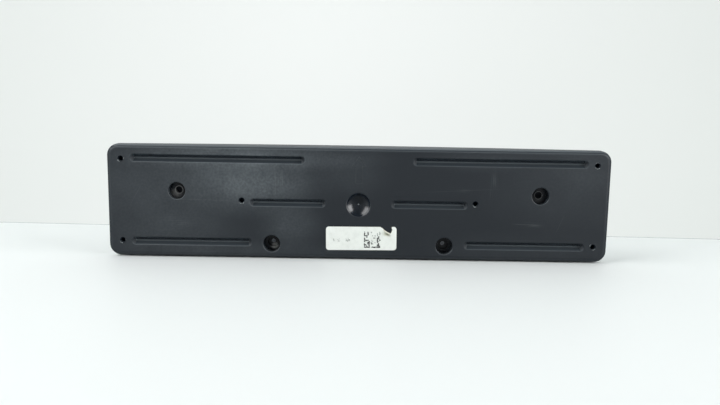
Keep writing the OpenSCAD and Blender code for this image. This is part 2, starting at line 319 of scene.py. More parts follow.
def scratch_mask(tree, place, start, end, width):
    """One straight scratch of that width in mm, from start to end (x, z), fading at both ends."""
    run = Vector(end) - Vector(start)
    middle = (Vector(start) + Vector(end)) / 2
    point = patch_point(
        tree, place, middle, (run.length / 2, width / 2), math.degrees(math.atan2(run.y, run.x)))
    parts = add_node(tree, "ShaderNodeSeparateXYZ", {0: point}).outputs
    along = add_node(tree, "ShaderNodeMath", {0: parts["X"]}, operation="ABSOLUTE")
    across = add_node(tree, "ShaderNodeMath", {0: parts["Z"]}, operation="ABSOLUTE")
    fade = add_node(tree, "ShaderNodeMapRange", {0: along, 1: 1.0, 2: 0.5})
    edge = add_node(tree, "ShaderNodeMapRange", {0: across, 1: 1.0, 2: 0.3})
    return product(tree, fade, edge)


def ring_mask(tree, place, centre, radius, width):
    """A soft ring on the face: centre (x, z), radius and width in mm."""
    reach = patch_reach(tree, place, centre, (radius, radius))
    away = add_node(tree, "ShaderNodeMath", {0: reach, 1: 1.0}, operation="SUBTRACT")
    away = add_node(tree, "ShaderNodeMath", {0: away}, operation="ABSOLUTE")
    return add_node(tree, "ShaderNodeMapRange", {0: away, 1: width / 2 / radius, 2: 0.0})


def rub_mask(tree, place, centre, size, turn):
    """A patch of fine parallel rub marks, 1.1 mm apart, that run along its turned X."""
    point = patch_point(tree, place, centre, size, turn)
    in_mm = add_node(tree, "ShaderNodeVectorMath", {0: point, 1: (size[0], 1, size[1])}, operation="MULTIPLY")
    lines = noise_mask(tree, in_mm, 1.1, 0.5, 0.7, 1.0, (26, 1, 1))
    return product(tree, lines, soft_oval(tree, place, centre, size, turn))


def new_piece(name, vertices, faces, material, smooth=False):
    """A mesh object from points in metres. It rides on the root body."""
    mesh = bpy.data.meshes.new(name)
    mesh.from_pydata([tuple(v) for v in vertices], [], faces)
    mesh.validate()
    piece = bpy.data.objects.new(name, mesh)
    bpy.context.scene.collection.objects.link(piece)
    mesh.materials.append(material)
    for polygon in mesh.polygons:
        polygon.use_smooth = smooth
    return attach(piece, "root")


# Finishes

# Soft patches of dust on the face: centre and half size (x, z) in mm, and strength
DUST_PATCHES = (
    ((-112, 22), (98, 46), 2.9),
    ((-205, 14), (115, 80), 1.2),
    ((-190, -42), (130, 45), 0.75),
    ((-115, 46), (172, 18), 2.6),
    ((120, 45), (75, 14), 0.9),
    ((-102, 15), (58, 22), 1.3),
    ((-8, 30), (52, 34), 0.7),
    ((-70, -24), (46, 34), 1.5),
    ((-100, -52), (190, 14), 0.6),
    ((215, 26), (115, 70), 0.6),
    ((238, 38), (55, 40), 0.35),
    ((170, -48), (140, 26), 0.4),
)
# Painted pools of light on the floors of the cups, with some grit: centre and half size (x, z) in mm, and
# strength
CUP_LIGHT_AND_GRIT = (
    ((-191, 6), (8, 8), 0.75),
    ((188, 6), (8, 8), 0.14),
    ((-88.3, -48.6), (5.2, 3.8), 1.8),
    ((90, -46), (7, 5), 0.1),
)
# Painted highlights of the raised rings round the upper holes: centre (x, z), radius and width in mm, and
# strength
SEAT_RING_HIGHLIGHTS = (
    ((-188, 10), 4.0, 1.2, 0.6),
    ((188, 10), 4.0, 0.9, 0.25),
)
# Fields of fine rub marks: centre and half size (x, z) in mm, turn in degrees, and strength
RUB_FIELDS = (
    ((139, 18), (24, 6), 90, 0.6),
    ((-80, 18), (22, 8), 92, 0.35),
    ((-160, 52.5), (50, 3), 0, 0.8),
    ((176, -20), (22, 4), -2, 0.6),
    ((102, 15), (18, 4), 0, 0.4),
    ((-190, -24), (36, 14), 4, 0.3),
)
# Single scratches: start and end (x, z) in mm, width in mm, and strength
SCRATCHES = (
    ((-86.5, 40), (-86, 4), 0.9, 0.7),
    ((-79.5, 36), (-78.5, 12), 0.8, 0.5),
    ((60, 12), (150, 17), 0.7, 0.3),
    ((-200, 1.5), (-130, 0.5), 0.9, 0.25),
    ((158, -19.3), (190, -20.6), 0.9, 0.5),
    ((-238, -8), (-222, 20), 0.7, 0.3),
    ((205, -30), (214, -8), 0.7, 0.3),
)
# Middle (x, z) of the dimple, and radius of the gate's stub in it, in mm
DIMPLE_MIDDLE = (0, -2)
STUB_RADIUS = 1.3
# Width of the dulled strip round the holder's outline, in mm
RIM_WIDTH = 6
# Zones of the moulding: the measure that tells each, where its mask is 0 and where it is 1. In mm, depth is
# behind the face, height and right are from the corner screws' middle, and from dimple is the distance to its
# middle. Upwards, sideways and backwards are shares of the direction that the surface faces
UPPER_EDGE = CAD_BOUNDS[1].z / MM
ZONES = {
    "arrow": ("depth", -0.1, -0.18),
    "lip_start": ("depth", 0.0, 0.04),
    "past_face": ("depth", 0.02, 0.1),
    "face": ("depth", 1.0, 0.2),
    "polished": ("depth", 0.2, 0.9),
    "bead": ("depth", 0.3, 0.9),
    "groove_start": ("depth", 0.3, 0.5),
    "lip_end": ("depth", 0.9, 0.5),
    "groove_end": ("depth", 1.1, 0.9),
    "bead_floor": ("depth", 3.85, 4.1),
    "gate": ("depth", 4.0, 4.5),
    "no_deeper_than_beads": ("depth", 4.6, 4.2),
    "cup_floor": ("depth", 8.0, 9.0),
    "lower_edge": ("height", -55.0, -56.5),
    "upper_lip": ("height", 49.0, 50.0),
    "groove_height": ("height", 53.0, 54.0),
    "upper_edge": ("height", UPPER_EDGE - 3.3, UPPER_EDGE - 2.8),
    "right_end": ("right", 180.0, 250.0),
    "dimple": ("from dimple", 13.6, 12.0),
    "beyond_dimple": ("from dimple", 15.99, 16.01),
    "lip_slope": ("upwards", 0.08, 0.3),
    "bead_slope": ("upwards", 0.3, 0.6),
    "level": ("upwards", 0.45, 0.6),
    "underside": ("upwards", -0.1, -0.5),
    "end_wall": ("sideways", 0.15, 0.4),
    "rounded": ("backwards", -0.95, -0.7),
}


def hole_centres(*names):
    """Centres (x, z) in metres of the screw holes of the record's mounts with those names."""
    centres = []
    for name in names:
        mount = MOUNTS[name]
        half_x = mount["dims"]["spacing_x_mm"] * MM / 2
        half_z = mount["dims"].get("spacing_y_mm", 0) * MM / 2
        for z in sorted({half_z, -half_z}):
            centres += [(side * half_x, mount["pos_m"][2] + z) for side in (-1, 1)]
    return centres


def beyond_holes(tree, place, radius, *names):
    """1 from radius mm on round the screw holes of the named mounts, and 0 close to them. The holes are
    alike left and right, so one distance does for both."""
    parts = add_node(tree, "ShaderNodeSeparateXYZ", {0: place}).outputs
    away = add_node(tree, "ShaderNodeMath", {0: parts["X"]}, operation="ABSOLUTE")
    folded = add_node(tree, "ShaderNodeCombineXYZ", {"X": away, "Z": parts["Z"]})
    edges = []
    for x, z in hole_centres(*names):
        if x > 0:
            reach = patch_reach(tree, folded, (x / MM, z / MM), (radius, radius))
            edges.append(add_node(tree, "ShaderNodeMapRange", {0: reach, 1: 0.88, 2: 1.0}))
    return product(tree, *edges)


def outer_rim(tree, parts):
    """1 within the rim's width of the holder's ends and of its long edges, and 0 elsewhere."""
    rim = 0.0
    for axis, high in (("X", CAD_BOUNDS[1].x / MM), ("Z", UPPER_EDGE)):
        inner = high - RIM_WIDTH
        away = add_node(tree, "ShaderNodeMath", {0: parts[axis]}, operation="ABSOLUTE")
        edge = add_node(tree, "ShaderNodeMapRange", {0: away, 1: inner - 1, 2: inner})
        rim = add_node(tree, "ShaderNodeMath", {0: edge, 1: rim}, operation="MAXIMUM")
    return rim


def moulding_zones(tree, place):
    """The masks of the moulding's zones by name, with two that are made of several."""
    parts = add_node(tree, "ShaderNodeSeparateXYZ", {0: place}).outputs
    normal = add_node(tree, "ShaderNodeNewGeometry").outputs["Normal"]
    facing = add_node(tree, "ShaderNodeSeparateXYZ", {0: normal}).outputs
    measures = {
        "depth": parts["Y"],
        "height": parts["Z"],
        "right": parts["X"],
        "from dimple": patch_reach(tree, place, DIMPLE_MIDDLE, (1, 1)),
        "upwards": facing["Z"],
        "sideways": add_node(tree, "ShaderNodeMath", {0: facing["X"]}, operation="ABSOLUTE"),
        "backwards": facing["Y"],
    }
    zones = {}
    for name, (measure, outside, inside) in ZONES.items():
        zones[name] = add_node(tree, "ShaderNodeMapRange", {0: measures[measure], 1: outside, 2: inside})
    # The rounded edges are dulled by handling
    zones["handled"] = product(tree, zones["rounded"], outer_rim(tree, parts))
    # The mould's halves met in a fine groove along the upper edge, which stayed dark
    groove = product(tree, zones["groove_start"], zones["groove_end"], zones["groove_height"])
    zones["no_groove"] = total(tree, (1.0, 1.0), (groove, -0.6))
    return zones


def moulding_dust_and_highlights(tree, place, zones):
    """How thick the dust lies, with the painted highlights on the lips that turn up and on the upper edge."""
    patches = total(tree, *(
        (soft_oval(tree, place, centre, size), strength) for centre, size, strength in DUST_PATCHES))
    cloud = noise_mask(tree, place, 34, 0.25, 0.8, 4.0)
    fleck = noise_mask(tree, place, 2.4, 0.35, 0.75, 3.0, seed=2.0)
    uneven = total(tree, (1.0, 0.18), (cloud, 0.42), (fleck, 0.3))
    film = total(tree, (product(tree, patches, uneven), 0.13), (1.0, 0.03))
    film = product(tree, film, zones["face"], beyond_holes(tree, place, 3.4, *PLATE_SCREWS))
    # Dust also settled on the upper edge, where the surface turns up, and it is painted stronger there as a
    # highlight for the light from above
    edge_dust_and_highlight = product(tree, zones["level"], zones["upper_edge"])
    # The lower edge is scuffed where the holder was stood down
    scuffed = product(tree, zones["underside"], zones["lower_edge"])
    # Dust lies on the lower slopes of the beads, and most of all in a line along their floors
    lying = total(tree, (zones["bead_slope"], 0.07), (1.0, 0.045), (zones["bead_floor"], 0.2))
    lying = product(tree, lying, zones["no_deeper_than_beads"], zones["bead"], zones["beyond_dimple"])
    # Painted highlight: the lips that turn up, that of the upper edge most, are painted pale in the dust's
    # colour, for the light they catch from above
    most = total(tree, (1.0, 1.0), (zones["upper_lip"], 0.4))
    lips = product(
        tree, zones["lip_slope"], zones["lip_end"], zones["lip_start"], zones["beyond_dimple"], most)
    dust = total(
        tree, (film, 1.0), (edge_dust_and_highlight, 0.12), (scuffed, 0.07), (lying, 1.0), (lips, 0.09),
        (zones["arrow"], 0.02))
    return product(tree, dust, zones["no_groove"])


def cup_light_and_grit(tree, place, zones):
    """Painted pools of light, with some grit, and the painted highlights of the raised rings, on the floors
    of the cups.
    """
    grit = total(
        tree,
        *((soft_oval(tree, place, centre, size), strength) for centre, size, strength in CUP_LIGHT_AND_GRIT),
        *((ring_mask(tree, place, centre, radius, width), strength)
          for centre, radius, width, strength in SEAT_RING_HIGHLIGHTS))
    return product(tree, grit, zones["cup_floor"])


def rub_marks(tree, place, zones):
    """Fields of rub marks and single scratches on the face."""
    marks = [(rub_mask(tree, place, *field[:3]), field[3]) for field in RUB_FIELDS]
    marks += [(scratch_mask(tree, place, *line[:3]), line[3]) for line in SCRATCHES]
    return product(tree, total(tree, *marks), zones["face"], 0.14)


def moulding_roughness(tree, place, zones, finish):
    """Roughness of the satin face, the polished sunk parts and the dulled edges."""
    # The dimple and the beads were cut by polished inserts, so they are glossier than the face
    base = add_node(tree, "ShaderNodeMix", {0: zones["polished"], 2: finish.satin, 3: finish.polish})
    speckle = noise_mask(tree, place, 5, 0.3, 0.7, 5.0, seed=5.0)
    # The ends of the beads weren't polished
    bead_ends = product(
        tree, zones["end_wall"], zones["no_deeper_than_beads"], zones["beyond_dimple"],
        beyond_holes(tree, place, 17, *CUP_SCREWS), zones["past_face"])
    return total(tree, (base, 1.0), (speckle, 0.06), (bead_ends, 0.45), (zones["handled"], 0.3))


def moulding_shine(tree, place, zones):
    """Specular level: plain plastic's, less where the surface is worn or torn."""
    # The rounded edge of the right end is dulled most
    dulled = product(tree, zones["handled"], zones["right_end"])
    plain = total(tree, (1.0, 0.5), (dulled, -0.35))
    # The dimple kept its shine, because nothing rubs on it
    kept = total(tree, (1.0, 1.0), (zones["dimple"], 0.35))
    # Screws tore the rims of their holes open, and torn plastic traps the light
    untorn = beyond_holes(tree, place, 3.0, *PLATE_SCREWS)
    return product(tree, plain, kept, zones["no_groove"], untorn)


def satin_black_polypropylene(finish):
    """Black polypropylene, injection moulded against a spark-eroded mould face. The eye sees a very dark,
    slightly bluish body under a grey satin sheen, dulled by dust in soft patches and rubbed pale in places.
    The pits are 0.05 mm wide on the real face, and are drawn 0.6 mm wide so that they show."""
    material, tree = start_material("satin_black_polypropylene")
    place = surface_point(tree)
    zones = moulding_zones(tree, place)
    rubbed = rub_marks(tree, place, zones)
    # The gate's stub in the dimple was snapped off, which left it pale, and the pale is painted stronger as a
    # glint on it
    stub = soft_oval(tree, place, DIMPLE_MIDDLE, (STUB_RADIUS, STUB_RADIUS))
    stub = product(tree, stub, zones["gate"], 0.8)
    pits = noise_mask(tree, place, finish.grain / MM, 0.2, 0.8, 2.0, seed=7.0)
    waves = noise_mask(tree, place, 60, 0.0, 1.0, 1.0, seed=9.0)
    relief = total(tree, (pits, 0.02), (waves, 0.5), (rubbed, 0.3))
    # Painted light in this colour: highlights on the lips, the upper edge, the gate's stub, the rings round
    # the upper holes, and pools of light on the cup floors
    shader = add_node(
        tree, "ShaderNodeBsdfPrincipled",
        {"Base Color": paint(
            tree, finish.body, (moulding_dust_and_highlights(tree, place, zones), finish.haze),
            (cup_light_and_grit(tree, place, zones), finish.grit), (rubbed, finish.rub), (stub, finish.rub)),
         "Roughness": moulding_roughness(tree, place, zones, finish),
         "IOR": PLASTIC_IOR,
         "Specular IOR Level": moulding_shine(tree, place, zones),
         "Normal": add_node(tree, "ShaderNodeBump", {"Height": relief, "Strength": 0.5, "Distance": MM})})
    return finish_material(material, shader)


def stressed_polypropylene(finish):
    """The same polypropylene, raised and torn by a screw's thread. Stress turns it pale and matt, and the
    pale also stands in for the glints on the raised rims: a painted highlight.
    """
    material, tree = start_material("stressed_polypropylene")
    torn = noise_mask(tree, surface_point(tree), 0.9, 0.35, 0.65, 3.0)
    shader = add_node(
        tree, "ShaderNodeBsdfPrincipled",
        {"Base Color": paint(tree, finish.body, (torn, finish.rub)), "Roughness": 0.6, "IOR": PLASTIC_IOR})
    return finish_material(material, shader)


def coated_label_paper(sizes):
    """Wood-free label paper with a calendered coating. The eye sees a flat, faintly greenish white with a
    low sheen, soft vertical creases and a little grey dirt."""
    material, tree = start_material("coated_label_paper")
    place = surface_point(tree)
    dirt = product(tree, noise_mask(tree, place, 6, 0.45, 0.8, 4.0), 0.22)
    specks = product(tree, noise_mask(tree, place, 0.8, 0.66, 0.8, 1.0, seed=3.0), 0.3)
    creases = noise_mask(tree, place, 5, 0.2, 0.8, 2.0, (1, 1, 9), seed=4.0)
    fibres = noise_mask(tree, place, 0.35, 0.2, 0.8, 3.0, seed=6.0)
    relief = total(tree, (creases, 0.45), (fibres, 0.03))
    # Under the folded strip, left of the notch's deepest point, lies its painted shadow with dirt in it, and
    # round that old adhesive
    deepest = tear_points(sizes)[DEEPEST] / MM
    shadow_and_stain = soft_oval(tree, place, deepest - Vector((3.0, 0.9)), (4.6, 1.9), FOLD_SLOPE)
    shadow_and_stain = add_node(tree, "ShaderNodeMapRange", {0: shadow_and_stain, 1: 0.0, 2: 0.9})
    glue = soft_oval(tree, place, deepest - Vector((4.6, 0.7)), (6.5, 3.6), FOLD_SLOPE)
    glue = product(tree, glue, noise_mask(tree, place, 1.6, 0.25, 0.6, 3.0, seed=8.0))
    grey_dirt = linear("#a9b0a4")
    yellowed_glue = linear("#c3c5ae")
    shader = add_node(
        tree, "ShaderNodeBsdfPrincipled",
        {"Base Color": paint(
            tree, sizes.paper, (dirt, grey_dirt), (specks, grey_dirt), (glue, yellowed_glue),
            (shadow_and_stain, sizes.shadow_and_stain)),
         "Roughness": 0.55, "IOR": PAPER_IOR,
         "Normal": add_node(tree, "ShaderNodeBump", {"Height": relief, "Strength": 0.6, "Distance": MM})})
    return finish_material(material, shader)


def bare_paper_fibre(sizes):
    """Torn label paper with its coating gone. The eye sees matt, warm fibres, browned by old adhesive."""
    material, tree = start_material("bare_paper_fibre")
    place = surface_point(tree)
    brown = product(tree, noise_mask(tree, place, 2.2, 0.3, 0.7, 3.0), 0.55)
    fibres = noise_mask(tree, place, 0.3, 0.2, 0.8, 4.0, (3, 1, 1), seed=2.0)
    bump = add_node(tree, "ShaderNodeBump", {"Height": fibres, "Strength": 0.7, "Distance": 0.1 * MM})
    shader = add_node(
        tree, "ShaderNodeBsdfPrincipled",
        {"Base Color": paint(tree, sizes.fibre, (brown, linear("#bdbca8"))), "Roughness": 0.9,
         "IOR": PAPER_IOR, "Normal": bump})
    return finish_material(material, shader)


def thermal_ink(name, ink, paper, wear):
    """Thermal print with that colour, broken up to the paper below by the wear, a function of the tree."""
    material, tree = start_material(name)
    shader = add_node(
        tree, "ShaderNodeBsdfPrincipled",
        {"Base Color": paint(tree, ink, (wear(tree), paper)), "Roughness": 0.7, "IOR": PAPER_IOR})
    return finish_material(material, shader)


def worn_thermal_ink(sizes):
    """Thermal print that has been rubbed thin. The eye sees matt dark grey, broken up to the paper below."""
    return thermal_ink(
        "worn_thermal_ink", sizes.ink, sizes.paper,
        lambda tree: product(tree, noise_mask(tree, surface_point(tree), 0.9, 0.45, 0.8, 3.0), 0.35))


def faded_thermal_ink(sizes):
    """The same print, faded to a light grey by sun and wear."""
    return thermal_ink(
        "faded_thermal_ink", sizes.faded, sizes.paper,
        lambda tree: noise_mask(tree, surface_point(tree), 0.8, 0.35, 0.75, 3.0))


# Pieces


class PLATE_HOLDER_OT_finish_carrier(bpy.types.Operator):
    """Give the moulded carrier its satin black finish"""

    bl_idname = "plate_holder.finish_carrier"
    bl_label = "Finish the carrier"

    def execute(self, context):
        finish = context.scene.plate_holder_plastic
        material = satin_black_polypropylene(finish)
        CARRIER.data.materials.clear()
        CARRIER.data.materials.append(material)
        return {"FINISHED"}


def arrow_outline(sizes):
    """Corners (x, z) of the arrow, from its tip clockwise."""
    half_head, half_shaft = sizes.head_width / 2, sizes.shaft_width / 2
    head_z, tail_z = sizes.tip - sizes.head, sizes.tip - sizes.whole
    right = [(half_head, head_z), (half_shaft, head_z), (half_shaft, tail_z)]
    left = [(-x, z) for x, z in reversed(right)]
    return [Vector(p) for p in [(0, sizes.tip), *right, *left]]


def offset_corner(corners, index, distance):
    """The corner moved so that both of its edges shift inwards by distance. Corners run clockwise."""
    before, here, after = (corners[(index + step) % len(corners)] for step in (-1, 0, 1))
    inwards = [Vector((run.y, -run.x)) for run in ((here - before).normalized(), (after - here).normalized())]
    shift = inwards[0] + inwards[1]
    return here + shift * (distance / (1 + inwards[0].dot(inwards[1])))


class PLATE_HOLDER_OT_make_arrow(bpy.types.Operator):
    """Make the raised outline of the arrow on the face"""

    bl_idname = "plate_holder.make_arrow"
    bl_label = "Make the arrow"

    def execute(self, context):
        sizes = context.scene.plate_holder_arrow
        corners = arrow_outline(sizes)
        count = len(corners)
        # Each ring is an offset from the outline and a height: a ridge with sloping sides, sunk into the face
        sink = -0.05 * MM
        rings = ((-0.5, sink), (-0.2, sizes.rise), (0.2, sizes.rise), (0.5, sink))
        vertices = []
        for offset, rise in rings:
            for index in range(count):
                point = offset_corner(corners, index, offset * sizes.line)
                vertices.append((point.x, -rise, point.y))
        faces = []
        for ring in range(len(rings)):
            here, following = ring * count, (ring + 1) % len(rings) * count
            for index in range(count):
                beside = (index + 1) % count
                faces.append((here + index, here + beside, following + beside, following + index))
        arrow = new_piece("direction_arrow", vertices, faces, CARRIER.data.materials[0])
        return {"FINISHED"}


# Raised parts of each hole's rim, in the order of hole_centres: middle and half width in degrees
# anticlockwise from the right, and strength
BURR_ARCS = (
    ((236, 30, 1.3), (5, 25, 0.45)),
    ((146, 25, 1.8), (292, 55, 0.8)),
    ((228, 30, 1.3), (5, 30, 0.5)),
    ((105, 45, 0.5), (268, 60, 1.0)),
    ((275, 65, 1.2),),
    ((250, 45, 1.1),),
)
# Directions round a hole in which its rim is drawn, and steps across the rim
BURR_TURNS = 96
BURR_STEPS = 6


def burr_strength(arcs, turn):
    """Strength of the strongest arc at that turn in degrees. Each fades towards its ends."""
    strengths = []
    for middle, half, strength in arcs:
        off_middle = abs((turn - middle + 180) % 360 - 180)
        strengths.append(strength * max(0.0, 1 - (off_middle / half) ** 2))
    return max(strengths)


def burr_points(sizes, centre, arcs):
    """Points of one hole's rim, which has a row of them outwards in each direction."""
    # The rim starts a little inside the hole, and its feet are sunk into the face
    overlap, sink, feet = 0.1 * MM, 0.04 * MM, 0.08 * MM
    seed = Vector((centre[0] * 90, centre[1] * 90, 0))
    points = []
    for step in range(BURR_TURNS):
        turn = math.tau * step / BURR_TURNS
        around = Vector((math.cos(turn), math.sin(turn), 0))
        uneven = 0.9 + 0.3 * noise.noise(around * 2.6 + seed)
        strength = burr_strength(arcs, math.degrees(turn)) * uneven
        width = sizes.width * max(0.15, strength)
        rise = sizes.rise * strength - sink
        for index in range(BURR_STEPS + 1):
            outwards = index / BURR_STEPS
            radius = sizes.radius - overlap + outwards * (width + overlap)
            height = rise * math.sin(math.pi * outwards) ** 0.7 if 0 < index < BURR_STEPS else -feet
            points.append((centre[0] + radius * around.x, -height, centre[1] + radius * around.y))
    return points


def burr_faces(start):
    """Faces of one hole's rim, whose first point is number start."""
    row = BURR_STEPS + 1
    faces = []
    for step in range(BURR_TURNS):
        here = start + step * row
        beside = start + (step + 1) % BURR_TURNS * row
        for index in range(BURR_STEPS):
            faces.append((here + index, here + index + 1, beside + index + 1, beside + index))
        faces.append((here + BURR_STEPS, here, beside, beside + BURR_STEPS))
    return faces


class PLATE_HOLDER_OT_make_burrs(bpy.types.Operator):
    """Make the pale rims that screws have raised round the plate screw holes"""

    bl_idname = "plate_holder.make_burrs"
    bl_label = "Make the screw burrs"

    def execute(self, context):
        sizes = context.scene.plate_holder_burrs
        # The burrs' pale colour is partly stress and partly a painted highlight for their glints
        material = stressed_polypropylene(context.scene.plate_holder_plastic)
        vertices, faces = [], []
        for centre, arcs in zip(hole_centres(*PLATE_SCREWS), BURR_ARCS):
            faces += burr_faces(len(vertices))
            vertices += burr_points(sizes, centre, arcs)
        burrs = new_piece("screw_burrs", vertices, faces, material, smooth=True)
        return {"FINISHED"}


# Torn edge of the notch, from its left end to its right end, as shares of its width and depth
TEAR_SHARES = (
    (-1, 0), (-0.79, -0.21), (-0.59, -0.54), (-0.39, -0.79), (-0.11, -1), (-0.06, -0.83), (0.02, -0.49),
    (-0.03, -0.21), (0, 0))
# Which of those points are the notch's deepest one and the upper end of the edge that tore the strip loose
DEEPEST = 4
STRIP_TOP = 2
# Slope of the folded strip, in degrees
FOLD_SLOPE = -24


def sheet_corners(sizes):
    """Lower left and upper right corner (x, z) of the sticker before it is turned."""
    # It starts at the left end of its place in the construction
    low_x = STICKER_LOW.x + 0.15 * MM
    middle_z = (STICKER_LOW.z + STICKER_HIGH.z) / 2
    return (Vector((low_x, middle_z - sizes.sheet_height / 2)),
            Vector((low_x + sizes.sheet_length, middle_z + sizes.sheet_height / 2)))


def turn_with_sticker(piece, sizes):
    """Turns a piece about the middle of the sticker's place, as the sticker was stuck on."""
    middle = (STICKER_LOW + STICKER_HIGH) / 2
    piece.data.transform(
        Matrix.Translation(middle) @ Matrix.Rotation(-sizes.turn, 4, "Y") @ Matrix.Translation(-middle))


def tear_points(sizes):
    """Turning points (x, z) of the torn edge. The last is the notch's upper right end."""
    high = sheet_corners(sizes)[1]
    corner = Vector((high.x - sizes.tear_inset, high.y))
    return [corner + Vector((x * sizes.tear_width, z * sizes.tear_depth)) for x, z in TEAR_SHARES]


def torn_edge(sizes, recess):
    """Points (x, z) of the torn edge, ragged and moved back into the paper by recess."""
    turning = tear_points(sizes)
    points = []
    steps = 14
    for start, end in zip(turning, turning[1:]):
        run = end - start
        into_paper = Vector((run.y, -run.x)).normalized()
        for step in range(steps):
            point = start + run * (step / steps)
            ragged = noise.noise(Vector((point.x, point.y, recess)) / (0.45 * MM)) * 0.16 * MM
            ragged += noise.noise(Vector((point.x, point.y, 5 * recess)) / (1.7 * MM)) * 0.25 * MM
            points.append(point + into_paper * (recess + ragged * (0.4 + recess / sizes.ply_step)))
    points.append(turning[-1] + Vector((recess, 0)))
    return [Vector((point.x, min(point.y, turning[-1].y))) for point in points]


def sheet_outline(sizes, recess):
    """Closed outline (x, z) of the sticker, anticlockwise, with its torn notch moved back by recess."""
    (low_x, low_z), (high_x, high_z) = sheet_corners(sizes)
    radius = sizes.corner
    centres = (
        (high_x - radius, high_z - radius), (low_x + radius, high_z - radius),
        (low_x + radius, low_z + radius), (high_x - radius, low_z + radius))
    arcs = []
    steps = 12
    for quarter, centre in enumerate(centres):
        turns = [math.radians(90 * quarter + 90 * step / steps) for step in range(steps + 1)]
        arcs.append([Vector(centre) + radius * Vector((math.cos(turn), math.sin(turn))) for turn in turns])
    notch = [point for point in reversed(torn_edge(sizes, recess)) if point.y < high_z - 0.01 * MM]
    return arcs[0] + notch + arcs[1] + arcs[2] + arcs[3]


def paper_sheet(name, outline, front, back, material, spacing=1.2 * MM):
    """A sheet of paper inside the outline, whose front and back are functions of (x, z) that give
    the height above the face."""
    low = Vector((min(point.x for point in outline), min(point.y for point in outline)))
    high = Vector((max(point.x for point in outline), max(point.y for point in outline)))
    grid = []
    for column in range(1, int((high.x - low.x) / spacing)):
        for row in range(1, int((high.y - low.y) / spacing)):
            grid.append(low + Vector((column * spacing, row * spacing)))
    count = len(outline)
    rim = [(index, (index + 1) % count) for index in range(count)]
    points, _, triangles, _, _, _ = delaunay_2d_cdt(outline + grid, rim, [], 1, 1e-7)
    behind = len(points)
    vertices = [(point.x, -front(point), point.y) for point in points]
    vertices += [(point.x, -back(point), point.y) for point in points]
    faces = [tuple(triangle) for triangle in triangles]
    faces += [tuple(behind + index for index in reversed(triangle)) for triangle in triangles]
    # The sides that only one triangle has are the rim. The dict keeps their order
    sides = {}
    for triangle in triangles:
        for side in zip(triangle, (*triangle[1:], triangle[0])):
            sides[side] = True
    for start, end in sides:
        if (end, start) not in sides:
            faces.append((end, start, behind + start, behind + end))
    return new_piece(name, vertices, faces, material)


def strip_faces(steps_along, steps_across):
    """Faces of a closed strip, whose front points come first, row by row, and then its back points."""
    row = steps_across + 1
    back = row * (steps_along + 1)
    faces = []
    for along in range(steps_along):
        for across in range(steps_across):
            here = along * row + across
            faces.append((here, here + row, here + row + 1, here + 1))
            faces.append((back + here, back + here + 1, back + here + row + 1, back + here + row))
    rim = [along * row for along in range(steps_along + 1)]
    rim += [steps_along * row + across for across in range(1, row)]
    rim += [along * row + steps_across for along in range(steps_along - 1, -1, -1)]
    rim += list(range(steps_across - 1, 0, -1))
    for start, end in zip(rim, rim[1:] + rim[:1]):
        faces.append((end, start, back + start, back + end))
    return faces


class PLATE_HOLDER_OT_make_sticker(bpy.types.Operator):
    """Make the paper sticker: its coated ply, the bare ply along the tear and the folded strip"""

    bl_idname = "plate_holder.make_sticker"
    bl_label = "Make the sticker"

    def execute(self, context):
        sizes = context.scene.plate_holder_sticker
        coated, bare = coated_label_paper(sizes), bare_paper_fibre(sizes)
        # The bare ply reaches a little over half way up, and the coated ply lies on it
        middle = sizes.thickness * 0.55

        def lower_ply(point):
            return middle + 0.02 * MM * noise.noise(Vector((point.x, point.y, 0)) / (1.5 * MM))

        def coat(point):
            wave = noise.noise(Vector((point.x / (9 * MM), point.y / (40 * MM), 3)))
            return sizes.thickness + 0.04 * MM * wave

        fibres = paper_sheet(
            "sticker_fibres", sheet_outline(sizes, 0.0), lower_ply, lambda point: 0.0, bare)
        paper = paper_sheet(
            "sticker_paper", sheet_outline(sizes, sizes.ply_step), coat,
            lambda point: middle - 0.01 * MM, coated)
        fold = self.make_fold(sizes, bare)
        for piece in (fibres, paper, fold):
            turn_with_sticker(piece, sizes)
            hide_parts("sticker")
        return {"FINISHED"}

    def make_fold(self, sizes, material):
        """Strip that was torn loose along the notch's lower left edge and folded down over the paper."""
        turning = tear_points(sizes)
        start, end = turning[STRIP_TOP], turning[DEEPEST]
        # It tore on for a quarter of that edge
        start = start - (end - start) * 0.25
        run = end - start
        down = Vector((run.y, -run.x)).normalized()
        ply = 0.12 * MM
        # It stays within the height of the sticker's place in the construction
        highest = -STICKER_LOW.y - ply
        steps_along, steps_across = 36, 10
        front, back = [], []
        for step in range(steps_along + 1):
            along = step / steps_along
            # It narrows and comes down towards both of its ends
            ragged = 1 + 0.35 * noise.noise(Vector((along * 7, 0, sizes.seed)))
            width = sizes.fold_width * min(1.0, math.sin(math.pi * (0.08 + 0.84 * along)) ** 0.6 * ragged)
            rise = (highest - 0.05 * MM) * math.sin(math.pi * (0.1 + 0.8 * along)) ** 0.8
            for index in range(steps_across + 1):
                across = index / steps_across
                foot = start + run * along + down * (sizes.fold_inset + width * across)
                lift = min(highest, sizes.thickness * 0.7 + rise * math.sin(across * math.pi * 0.62))
                front.append((foot.x, -lift - ply, foot.y))
                back.append((foot.x, -lift, foot.y))
        faces = strip_faces(steps_along, steps_across)
        return new_piece("sticker_fold", front + back, faces, material, smooth=True)


